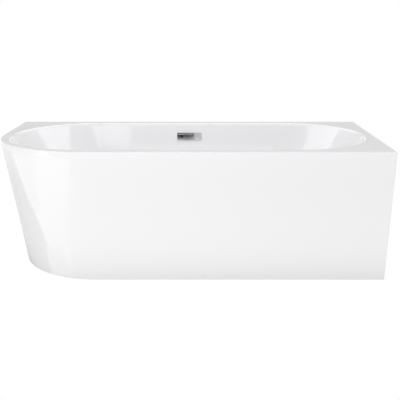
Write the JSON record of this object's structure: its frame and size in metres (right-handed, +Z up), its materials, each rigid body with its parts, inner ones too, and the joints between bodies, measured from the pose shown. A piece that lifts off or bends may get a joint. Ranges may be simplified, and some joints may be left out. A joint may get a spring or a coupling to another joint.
{
  "type": "corner bathtub",
  "caption": "White acrylic back-to-wall corner bathtub with a long oval basin, leaning skirt, levelling feet, click waste and chrome overflow.",
  "frame": {"origin": "on the floor, below the middle of the bounding box", "axes": "+X to the right wall end, +Y to the back wall, +Z up"},
  "size_m": [1.7, 0.8, 0.57],
  "materials": {
    "acrylic": "high gloss white acrylic, glass-fibre backed",
    "plywood": "raw birch plywood and pine",
    "frame_steel": "grey powder coat",
    "zinc_steel": "bright zinc plate",
    "black_plastic": "moulded",
    "chrome": "polished",
    "brass": "turned",
    "spring_steel": "stainless",
    "rubber": "matt",
    "white_plastic": "polypropylene",
    "grey_plastic": "polypropylene"
  },
  "bodies": {
    "tub": {"bath_shell": "acrylic", "outer_skirt": "acrylic", "base_board": "plywood", "rim_batten_front": "plywood", "rim_batten_back": "plywood", "rim_batten_right": "plywood", "frame_rail_front": "frame_steel", "frame_rail_back": "frame_steel", "frame_crossbar_1": "frame_steel", "frame_crossbar_2": "frame_steel", "frame_crossbar_3": "frame_steel", "frame_crossbar_4": "frame_steel", "strut_back_left": "frame_steel", "strut_back_right": "frame_steel", "strut_right_front": "frame_steel", "strut_right_back": "frame_steel", "skirt_bracket_1": "frame_steel", "skirt_bracket_2": "frame_steel", "skirt_bracket_3": "frame_steel", "board_screws": "zinc_steel", "strut_screws": "zinc_steel", "bracket_bolts": "zinc_steel", "overflow_screws": "zinc_steel", "rail_caps": "black_plastic", "waste_flange": "chrome", "overflow_cover": "chrome", "plug_spring": "spring_steel", "overflow_plate": "spring_steel", "waste_flange_gasket": "rubber", "waste_body_gasket": "rubber", "overflow_gasket": "rubber", "waste_body": "white_plastic", "overflow_elbow": "white_plastic", "trap_body": "white_plastic", "outlet_pipe": "white_plastic", "overflow_pipe": "white_plastic", "plug_guide": "white_plastic", "trap_nut": "grey_plastic", "outlet_nut": "grey_plastic"},
    "foot_1": {"foot_rod_1": "zinc_steel", "foot_pad_1": "black_plastic"},
    "foot_nuts_1": {"foot_nuts_1": "zinc_steel"},
    "foot_2": {"foot_rod_2": "zinc_steel", "foot_pad_2": "black_plastic"},
    "foot_nuts_2": {"foot_nuts_2": "zinc_steel"},
    "foot_3": {"foot_rod_3": "zinc_steel", "foot_pad_3": "black_plastic"},
    "foot_nuts_3": {"foot_nuts_3": "zinc_steel"},
    "foot_4": {"foot_rod_4": "zinc_steel", "foot_pad_4": "black_plastic"},
    "foot_nuts_4": {"foot_nuts_4": "zinc_steel"},
    "foot_5": {"foot_rod_5": "zinc_steel", "foot_pad_5": "black_plastic"},
    "foot_nuts_5": {"foot_nuts_5": "zinc_steel"},
    "foot_6": {"foot_rod_6": "zinc_steel", "foot_pad_6": "black_plastic"},
    "foot_nuts_6": {"foot_nuts_6": "zinc_steel"},
    "plug": {"plug_cap": "chrome", "plug_seal": "rubber", "plug_stem": "brass"}
  },
  "joints": [
    {"name": "foot_1_nut_turn", "type": "hinge", "parent": "tub", "child": "foot_nuts_1", "pos_m": [-0.48, -0.27, 0.105], "axis": [0, 0, 1], "range_deg": [-720, 4320]},
    {"name": "foot_1_extend", "type": "slide", "parent": "tub", "child": "foot_1", "axis": [0, 0, -1], "range_m": [-0.0035, 0.021]},
    {"name": "foot_2_nut_turn", "type": "hinge", "parent": "tub", "child": "foot_nuts_2", "pos_m": [0.09, -0.27, 0.105], "axis": [0, 0, 1], "range_deg": [-720, 4320]},
    {"name": "foot_2_extend", "type": "slide", "parent": "tub", "child": "foot_2", "axis": [0, 0, -1], "range_m": [-0.0035, 0.021]},
    {"name": "foot_3_nut_turn", "type": "hinge", "parent": "tub", "child": "foot_nuts_3", "pos_m": [0.64, -0.27, 0.105], "axis": [0, 0, 1], "range_deg": [-720, 4320]},
    {"name": "foot_3_extend", "type": "slide", "parent": "tub", "child": "foot_3", "axis": [0, 0, -1], "range_m": [-0.0035, 0.021]},
    {"name": "foot_4_nut_turn", "type": "hinge", "parent": "tub", "child": "foot_nuts_4", "pos_m": [-0.48, 0.27, 0.105], "axis": [0, 0, 1], "range_deg": [-720, 4320]},
    {"name": "foot_4_extend", "type": "slide", "parent": "tub", "child": "foot_4", "axis": [0, 0, -1], "range_m": [-0.0035, 0.021]},
    {"name": "foot_5_nut_turn", "type": "hinge", "parent": "tub", "child": "foot_nuts_5", "pos_m": [0.09, 0.27, 0.105], "axis": [0, 0, 1], "range_deg": [-720, 4320]},
    {"name": "foot_5_extend", "type": "slide", "parent": "tub", "child": "foot_5", "axis": [0, 0, -1], "range_m": [-0.0035, 0.021]},
    {"name": "foot_6_nut_turn", "type": "hinge", "parent": "tub", "child": "foot_nuts_6", "pos_m": [0.64, 0.27, 0.105], "axis": [0, 0, 1], "range_deg": [-720, 4320]},
    {"name": "foot_6_extend", "type": "slide", "parent": "tub", "child": "foot_6", "axis": [0, 0, -1], "range_m": [-0.0035, 0.021]},
    {"name": "plug_lift", "type": "slide", "parent": "tub", "child": "plug", "axis": [0, 0, 1], "range_m": [0, 0.009], "deforming": ["plug_spring"]}
  ],
  "couplings": [
    {"joint": "foot_1_nut_turn", "follows": "foot_1_extend", "rad_per_m": 3590.4},
    {"joint": "foot_2_nut_turn", "follows": "foot_2_extend", "rad_per_m": 3590.4},
    {"joint": "foot_3_nut_turn", "follows": "foot_3_extend", "rad_per_m": 3590.4},
    {"joint": "foot_4_nut_turn", "follows": "foot_4_extend", "rad_per_m": 3590.4},
    {"joint": "foot_5_nut_turn", "follows": "foot_5_extend", "rad_per_m": 3590.4},
    {"joint": "foot_6_nut_turn", "follows": "foot_6_extend", "rad_per_m": 3590.4}
  ]
}
